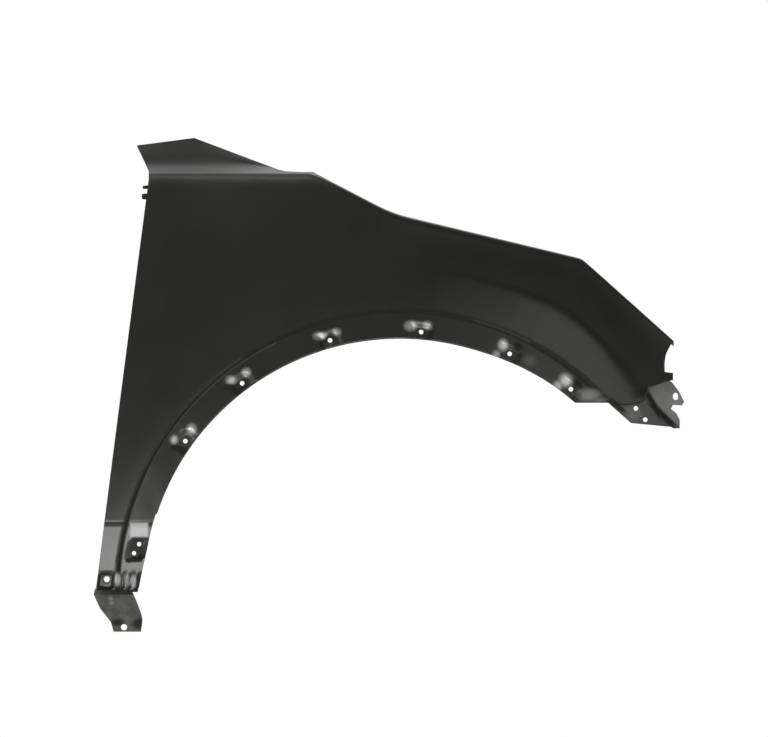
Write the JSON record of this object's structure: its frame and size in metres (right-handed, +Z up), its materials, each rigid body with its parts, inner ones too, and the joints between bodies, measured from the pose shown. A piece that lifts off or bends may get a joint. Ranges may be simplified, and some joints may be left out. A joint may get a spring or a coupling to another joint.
{
  "type": "car fender",
  "caption": "Right-hand front fender panel with a recessed wheel-arch flange, hood-side bolting ledge, pillar tip, lower leg and welded brackets.",
  "frame": {"origin": "on the axis of the rear bolt hole of the hood-side ledge, in the plane of that bolting pad's underside", "axes": "+X forward along the car, +Y inboard towards the car's middle, +Z up, as the fender stands on the car"},
  "size_m": [0.8869, 0.1394, 0.7419],
  "materials": {
    "black_primer": "semi-gloss dip primer",
    "bracket_black": "semi-gloss dip primer",
    "olive_primer": "dull primer",
    "grey_primer": "satin primer"
  },
  "bodies": {
    "root": {"fender_panel": "black_primer", "pillar_bracket": "bracket_black", "sill_bracket": "olive_primer", "bumper_bracket": "grey_primer"}
  },
  "joints": []
}
